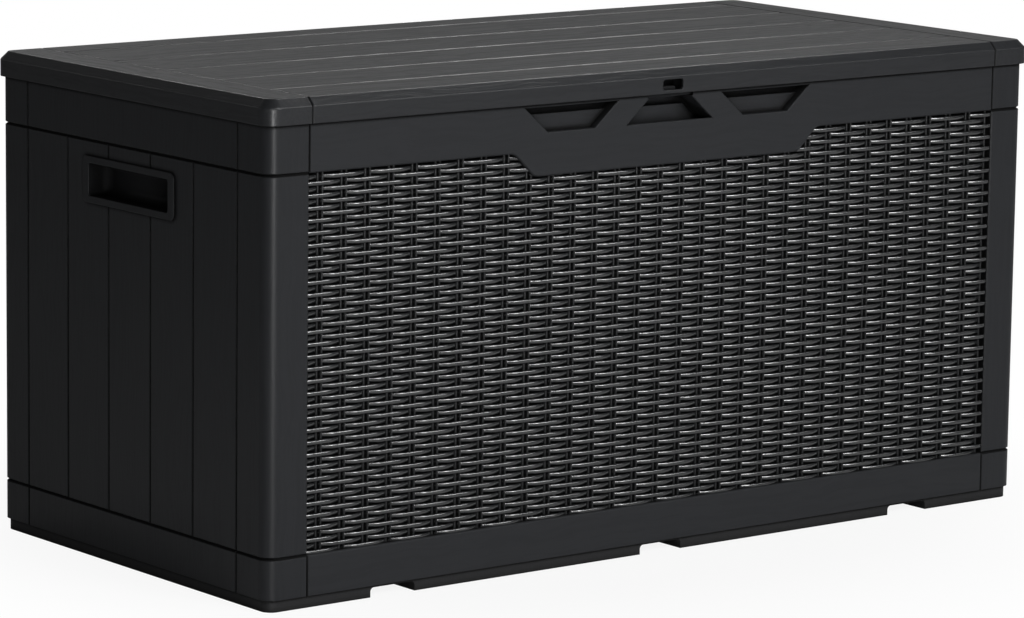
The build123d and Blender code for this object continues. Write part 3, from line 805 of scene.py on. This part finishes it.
@dataclass
class WickerFront:
    """The woven front: level strands that pass over one pair of stakes and behind the next.

    Its pitches and the notch under the rail's drop were measured in the photograph. The notch
    is the same as the CAD's. Lengths are in metres.
    """

    row_pitch: float = 7.37 * MM
    first_row: float = 66.45 * MM
    rows: int = 62
    stake_pitch: float = 34.575 * MM
    first_pair: float = -527.3 * MM
    pairs: int = 32
    pair_spread: float = 3.5 * MM
    strand_half_height: float = 2.8 * MM
    strand_half_depth: float = 1.9 * MM
    stake_radius: float = 1.4 * MM
    strand_over: float = 1.7 * MM
    strand_under: float = 7.6 * MM
    stake_seat: float = 4.9 * MM
    backing_thickness: float = 3.4 * MM
    over_power: float = 3.0
    wave_step: float = 3.6 * MM
    unevenness: float = 0.35 * MM
    wander_scale: float = 60.0
    strand_sides: int = 10
    stake_sides: int = 12
    notch_low: float = 492.0 * MM
    notch_half_low: float = 212.0 * MM
    notch_half_high: float = 243.0 * MM
    notch_bury: float = 3.0 * MM
    box: tuple[Vector, Vector] = field(default_factory=lambda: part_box("wicker_panel"))

    def notch_half(self, height: float) -> float:
        """Half the width of the rail's drop at one height.

        Args:
            height: the height above the ground.

        Returns:
            The half width, or 0 below the drop.
        """
        top = self.box[1].z
        if height < self.notch_low:
            return 0.0
        share = min((height - self.notch_low) / (top - self.notch_low), 1.0)
        return self.notch_half_low + share * (self.notch_half_high - self.notch_half_low)

    def strand_runs(self, odd: int) -> list[tuple[Vector, Vector]]:
        """The straight runs of every second row.

        Args:
            odd: 0 for the even rows, 1 for the odd ones.

        Returns:
            The two ends of each run.
        """
        left, right = self.box[0].x, self.box[1].x
        runs = []
        for row in range(odd, self.rows, 2):
            height = self.first_row + row * self.row_pitch
            gap = self.notch_half(height - self.strand_half_height)
            if gap:
                gap -= self.notch_bury
                runs.append((Vector((left, 0, height)), Vector((-gap, 0, height))))
                runs.append((Vector((gap, 0, height)), Vector((right, 0, height))))
            else:
                runs.append((Vector((left, 0, height)), Vector((right, 0, height))))
        return runs

    def stake_runs(self) -> list[tuple[Vector, Vector]]:
        """The upright runs of all the stakes.

        Returns:
            The two ends of each run.
        """
        low, high = self.box
        depth = low.y + self.stake_seat
        runs = []
        for pair in range(self.pairs):
            for side in (-1, 1):
                across = self.first_pair + pair * self.stake_pitch + side * self.pair_spread
                if abs(across) > high.x - self.stake_radius:
                    continue
                slant = self.notch_half_high - self.notch_half_low
                share = min(max((abs(across) - self.notch_half_low) / slant, 0.0), 1.0)
                top = self.notch_low + share * (high.z - self.notch_low)
                runs.append((Vector((across, depth, low.z)), Vector((across, depth, top))))
        return runs

    def strand_tree(self) -> bpy.types.NodeTree:
        """Builds the tree that bends straight runs round the stakes and thickens them.

        Returns:
            The tree.
        """
        labels = (
            "First Row",
            "Row Pitch",
            "First Pair",
            "Stake Pitch",
            "Over Depth",
            "Under Depth",
            "Over Power",
            "Half Height",
            "Half Depth",
            "Step",
            "Unevenness",
        )
        sockets = dict.fromkeys(labels, "NodeSocketFloat") | {"Finish": "NodeSocketMaterial"}
        tree, given = new_tree("woven_strands", sockets)
        curve = add_node(tree, "GeometryNodeMeshToCurve", inputs={"Mesh": given["Geometry"]})
        points = add_node(
            tree,
            "GeometryNodeResampleCurve",
            {"mode": "LENGTH"},
            {"Curve": curve.outputs[0], "Length": given["Step"]},
        )
        place = add_node(
            tree,
            "ShaderNodeSeparateXYZ",
            inputs={0: add_node(tree, "GeometryNodeInputPosition").outputs[0]},
        )
        climb = math_node(tree, "SUBTRACT", place.outputs["Z"], given["First Row"])
        row = math_node(tree, "ROUND", math_node(tree, "DIVIDE", climb, given["Row Pitch"]))
        along = math_node(tree, "SUBTRACT", place.outputs["X"], given["First Pair"])
        pair = math_node(tree, "DIVIDE", along, given["Stake Pitch"])
        turns = math_node(tree, "MULTIPLY", math_node(tree, "ADD", pair, row), math.pi)
        lean = math_node(tree, "COSINE", turns)
        behind = math_node(tree, "MULTIPLY_ADD", lean, -0.5, 0.5)
        sunk = math_node(tree, "POWER", behind, given["Over Power"])
        span = math_node(tree, "SUBTRACT", given["Under Depth"], given["Over Depth"])
        depth = math_node(tree, "MULTIPLY_ADD", span, sunk, given["Over Depth"])
        wander = add_node(
            tree, "ShaderNodeTexNoise", inputs={"Scale": self.wander_scale, "Detail": 1.0}
        )
        shift = math_node(tree, "SUBTRACT", wander.outputs["Fac"], 0.5)
        rise = math_node(tree, "MULTIPLY", shift, given["Unevenness"])
        bent = add_node(
            tree,
            "GeometryNodeSetPosition",
            inputs={
                "Geometry": points.outputs[0],
                "Offset": add_node(
                    tree, "ShaderNodeCombineXYZ", inputs={"Y": depth, "Z": rise}
                ).outputs[0],
            },
        )
        upright = add_node(
            tree, "GeometryNodeSetCurveNormal", {"mode": "Z_UP"}, {"Curve": bent.outputs[0]}
        )
        circle = add_node(
            tree,
            "GeometryNodeCurvePrimitiveCircle",
            inputs={"Resolution": self.strand_sides, "Radius": 1.0},
        )
        section = add_node(
            tree,
            "GeometryNodeTransform",
            inputs={
                "Geometry": circle.outputs[0],
                "Scale": add_node(
                    tree,
                    "ShaderNodeCombineXYZ",
                    inputs={"X": given["Half Depth"], "Y": given["Half Height"], "Z": 1.0},
                ).outputs[0],
            },
        )
        tube = add_node(
            tree,
            "GeometryNodeCurveToMesh",
            inputs={
                "Curve": upright.outputs[0],
                "Profile Curve": section.outputs[0],
                "Fill Caps": True,
            },
        )
        end_tree(tree, tube.outputs[0], given["Finish"])
        return tree

    def stake_tree(self) -> bpy.types.NodeTree:
        """Builds the tree that gives the upright runs their round section.

        Returns:
            The tree.
        """
        tree, given = new_tree(
            "upright_stakes", {"Radius": "NodeSocketFloat", "Finish": "NodeSocketMaterial"}
        )
        curve = add_node(tree, "GeometryNodeMeshToCurve", inputs={"Mesh": given["Geometry"]})
        circle = add_node(
            tree,
            "GeometryNodeCurvePrimitiveCircle",
            inputs={"Resolution": self.stake_sides, "Radius": given["Radius"]},
        )
        tube = add_node(
            tree,
            "GeometryNodeCurveToMesh",
            inputs={
                "Curve": curve.outputs[0],
                "Profile Curve": circle.outputs[0],
                "Fill Caps": True,
            },
        )
        end_tree(tree, tube.outputs[0], given["Finish"])
        return tree

    def backing_mesh(self) -> bpy.types.Mesh:
        """The closed sheet behind the weave, with the same notch as the rail.

        Returns:
            The mesh.
        """
        low, high = self.box
        outline = [
            (low.x, low.z),
            (high.x, low.z),
            (high.x, high.z),
            (self.notch_half_high, high.z),
            (self.notch_half_low, self.notch_low),
            (-self.notch_half_low, self.notch_low),
            (-self.notch_half_high, high.z),
            (low.x, high.z),
        ]
        shape = bmesh.new()
        front = high.y - self.backing_thickness
        face = shape.faces.new([shape.verts.new((x, front, z)) for x, z in outline])
        grown = bmesh.ops.extrude_face_region(shape, geom=[face])
        moved = [part for part in grown["geom"] if isinstance(part, bmesh.types.BMVert)]
        bmesh.ops.translate(shape, verts=moved, vec=(0, self.backing_thickness, 0))
        bmesh.ops.recalc_face_normals(shape, faces=shape.faces)
        mesh = bpy.data.meshes.new("weave_backing")
        shape.to_mesh(mesh)
        shape.free()
        return mesh

    def build(self, finishes: Finishes) -> None:
        """Builds the weave, its stakes and its backing in place of the plain panel.

        Args:
            finishes: the box's finishes.
        """
        face = self.box[0].y
        strand_tree = self.strand_tree()
        values = {
            "First Row": self.first_row,
            "Row Pitch": self.row_pitch,
            "First Pair": self.first_pair,
            "Stake Pitch": self.stake_pitch,
            "Over Depth": face + self.strand_over,
            "Under Depth": face + self.strand_under,
            "Over Power": self.over_power,
            "Half Height": self.strand_half_height,
            "Half Depth": self.strand_half_depth,
            "Step": self.wave_step,
            "Unevenness": self.unevenness,
            "Finish": finishes.strands,
        }
        pieces = []
        for odd, label in enumerate(("weave_even_rows", "weave_odd_rows")):
            piece = mesh_object(label, line_mesh(label, self.strand_runs(odd)))
            grow(piece, strand_tree, values)
            pieces.append(piece)
        stakes = mesh_object("weave_stakes", line_mesh("weave_stakes", self.stake_runs()))
        grow(stakes, self.stake_tree(), {"Radius": self.stake_radius, "Finish": finishes.stakes})
        pieces.append(stakes)
        backing = mesh_object("weave_backing", self.backing_mesh())
        backing.data.materials.append(finishes.backing)
        pieces.append(backing)
        for piece in pieces:
            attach(piece, "box")
            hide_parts("wicker_panel")
            LOG.info("built %s, %d faces", piece.name, len(piece.data.polygons))


@dataclass
class Body:
    """The walls, the base and the fittings that stay put."""

    upright: tuple[str, ...] = ("right_side_panel", "left_side_panel", "back_panel")
    fittings: tuple[str, ...] = ("padlock_bridge", "left_handle_cup", "right_handle_cup")
    sides: tuple[str, ...] = ("left", "centre", "right")
    screws: tuple[str, ...] = (
        "padlock_bridge_screws",
        "front_corner_screws",
        "back_corner_screws",
        "base_screws",
        "wicker_panel_screws",
        "hinge_bracket_screws",
    )

    def dress(self, finishes: Finishes) -> None:
        """Gives every fixed node its finish.

        Args:
            finishes: the box's finishes.
        """
        for node in self.upright:
            dress(node, finishes.upright_planks)
        dress("front_panel", finishes.rails)
        dress("base_panel", finishes.base)
        for node in self.fittings:
            dress(node, finishes.fittings)
        for side in self.sides:
            dress(f"{side}_hinge_bracket", finishes.fittings)
            dress(f"{side}_hinge_pin", finishes.zinc)
        for node in self.screws:
            dress(node, finishes.zinc)


@dataclass
class Lid:
    """The lid, its stiffeners and its half of the hinges."""

    caps: tuple[str, ...] = ("lid_left_end_cap", "lid_right_end_cap")
    sides: tuple[str, ...] = ("left", "centre", "right")
    stiffeners: tuple[str, ...] = ("front", "rear")
    screws: tuple[str, ...] = (
        "lid_right_cap_screws",
        "lid_left_cap_screws",
        "stiffener_strap_screws",
        "hinge_leaf_screws",
    )

    def dress(self, finishes: Finishes) -> None:
        """Gives every moving node its finish.

        Args:
            finishes: the box's finishes.
        """
        dress("lid_panel", finishes.lid_planks)
        for node in self.caps:
            dress(node, finishes.lid_caps)
        for end in self.stiffeners:
            dress(f"{end}_stiffener_tube", finishes.powder_coat)
            dress(f"{end}_stiffener_straps", finishes.powder_coat)
        for side in self.sides:
            dress(f"{side}_hinge_leaf", finishes.fittings)
        for node in self.screws:
            dress(node, finishes.zinc)


@dataclass(frozen=True)
class Softbox:
    """A rectangular studio lamp, whose light can be kept to a narrow cone."""

    name: str
    place: tuple[float, float, float]
    aim: tuple[float, float, float]
    size: tuple[float, float]
    power: float
    spread_degrees: float = 180.0

    def build(self) -> None:
        """Puts the lamp in the scene."""
        lamp = bpy.data.lights.new(self.name, "AREA")
        lamp.shape = "RECTANGLE"
        lamp.size, lamp.size_y = self.size
        lamp.energy = self.power
        lamp.spread = math.radians(self.spread_degrees)
        holder = bpy.data.objects.new(self.name, lamp)
        holder.visible_camera = False
        bpy.context.scene.collection.objects.link(holder)
        holder.location = self.place
        way = Vector(self.aim) - Vector(self.place)
        holder.rotation_euler = way.to_track_quat("-Z", "Y").to_euler()


@dataclass
class Studio:
    """A white floor and surround, soft lamps, and a camera where the photograph was taken.

    The camera's place and lens were solved from the photograph's straight edges.
    """

    camera_place: tuple[float, float, float] = (-3.757658, -4.803544, 1.302638)
    camera_right: tuple[float, float, float] = (0.7900688, -0.6128809, 0.0129708)
    camera_down: tuple[float, float, float] = (-0.0924570, -0.1400504, -0.9858182)
    camera_forward: tuple[float, float, float] = (0.6060057, 0.7776650, -0.1673146)
    focal_pixels: float = 4773.611
    image_width: int = 1024
    sensor_mm: float = 36.0
    floor_half: float = 40.0
    clip_end: float = 200.0
    ambient: float = 0.052
    mirror_share: float = 0.22
    mirror_range: tuple[float, float] = (0.35, 0.85)
    floor_colour: str = "#d9d9d9"
    shadow_share: float = 0.12
    shadow_range: tuple[float, float] = (0.4, 1.0)
    lamps: tuple[Softbox, ...] = (
        Softbox("key_softbox", (4.2, -5.6, 4.4), (0.0, -0.3, 0.35), (1.3, 1.3), 134.0),
        Softbox("front_softbox", (0.9, -5.2, 3.35), (0.0, -0.3, 0.35), (1.7, 1.2), 228.0),
        # narrow ones, for the light lines on the lid's grooves and ridges
        Softbox("top_softbox", (2.0, 0.7, 3.2), (0.0, 0.0, 0.6), (1.0, 0.8), 2.3, 50.0),
        Softbox("edge_softbox", (2.3, 1.34, 3.14), (0.0, -0.3, 0.6), (0.8, 0.5), 0.55, 40.0),
        Softbox("back_softbox", (-2.4, 2.9, 1.75), (-0.6, 0.0, 0.6), (0.6, 0.3), 0.15, 40.0),
        Softbox("ridge_softbox", (0.6, 3.0, 2.65), (-0.6, 0.0, 0.6), (0.6, 0.4), 0.45, 40.0),
        # wide again, for the cane's highlights and the line down the front corner
        Softbox("high_front_softbox", (-0.75, -3.9, 3.7), (0.0, -0.3, 0.3), (1.0, 0.6), 27.0),
        Softbox("corner_strip", (-2.3, -3.85, 0.35), (-0.6, -0.3, 0.35), (0.9, 0.6), 74.0),
        # low, so that it reaches only the back and the right end, which the photograph hides
        Softbox("rear_fill", (3.4, 3.6, 0.32), (0.0, 0.0, 0.3), (1.6, 0.5), 150.0),
    )

    def world(self) -> None:
        """Makes the white surround, which lights the object little.

        Its part behind the object is mirrored in the lid.
        """
        world = bpy.data.worlds.new("white_surround")
        bpy.context.scene.world = world
        world.use_nodes = True
        tree = world.node_tree
        tree.nodes.clear()
        path = add_node(tree, "ShaderNodeLightPath")
        way = add_node(tree, "ShaderNodeTexCoord").outputs["Generated"]
        facing = add_node(
            tree,
            "ShaderNodeVectorMath",
            {"operation": "DOT_PRODUCT"},
            {0: way, 1: self.camera_forward},
        )
        behind = eased(tree, facing.outputs["Value"], self.mirror_range)
        glossy = math_node(tree, "MULTIPLY", path.outputs["Is Glossy Ray"], behind)
        mirrored = math_node(tree, "MULTIPLY", glossy, self.mirror_share)
        sharp = math_node(
            tree, "MAXIMUM", path.outputs["Is Camera Ray"], path.outputs["Is Transmission Ray"]
        )
        strength = add_node(
            tree,
            "ShaderNodeMapRange",
            inputs={
                "Value": math_node(tree, "MAXIMUM", sharp, mirrored),
                "To Min": self.ambient,
                "To Max": 1.0,
            },
        )
        sky = add_node(
            tree,
            "ShaderNodeBackground",
            inputs={"Color": linear("#ffffff"), "Strength": strength.outputs[0]},
        )
        add_node(tree, "ShaderNodeOutputWorld", inputs={"Surface": sky.outputs[0]})

    def floor(self) -> None:
        """Lays the pale floor, which keeps part of the object's shadow."""
        reach = self.floor_half
        mesh = bpy.data.meshes.new("studio_floor")
        mesh.from_pydata(
            [(-reach, -reach, 0), (reach, -reach, 0), (reach, reach, 0), (-reach, reach, 0)],
            [],
            [(0, 1, 2, 3)],
        )
        floor = mesh_object("studio_floor", mesh)
        material, tree = new_material("painted_studio_floor")
        path = add_node(tree, "ShaderNodeLightPath")
        place = object_place(tree)
        distance = add_node(tree, "ShaderNodeVectorMath", {"operation": "LENGTH"}, {0: place})
        unshaded = 1.0 - self.shadow_share
        clear = eased(tree, distance.outputs["Value"], self.shadow_range, unshaded)
        share = math_node(tree, "MULTIPLY", path.outputs["Is Camera Ray"], clear)
        paint = add_node(
            tree, "ShaderNodeBsdfDiffuse", inputs={"Color": linear(self.floor_colour)}
        )
        glow = add_node(tree, "ShaderNodeEmission", inputs={"Color": linear("#ffffff")})
        both = add_node(
            tree,
            "ShaderNodeMixShader",
            inputs={0: share, 1: paint.outputs[0], 2: glow.outputs[0]},
        )
        close_surface(tree, both.outputs[0])
        mesh.materials.append(material)

    def camera(self) -> None:
        """Sets the camera that took the photograph."""
        lens = bpy.data.cameras.new("photo_camera")
        lens.sensor_width = self.sensor_mm
        lens.lens = self.focal_pixels * self.sensor_mm / self.image_width
        lens.clip_end = self.clip_end
        camera = bpy.data.objects.new("photo_camera", lens)
        bpy.context.scene.collection.objects.link(camera)
        axes = (
            Vector(self.camera_right),
            -Vector(self.camera_down),
            -Vector(self.camera_forward),
        )
        turn = Matrix(axes).transposed().to_4x4()
        camera.matrix_world = Matrix.Translation(self.camera_place) @ turn
        bpy.context.scene.camera = camera

    def build(self) -> None:
        """Builds the whole studio."""
        bpy.context.scene.view_settings.view_transform = "Standard"
        self.camera()
        self.world()
        self.floor()
        for lamp in self.lamps:
            lamp.build()
            LOG.info("lit %s", lamp.name)


def main() -> None:
    """Builds the studio, dresses the CAD nodes and builds the weave."""
    logging.basicConfig(level=logging.INFO, format="%(name)s: %(message)s")
    Studio().build()
    finishes = Finishes.build()
    Body().dress(finishes)
    Lid().dress(finishes)
    WickerFront().build(finishes)


if __name__ == "__main__":
    main()
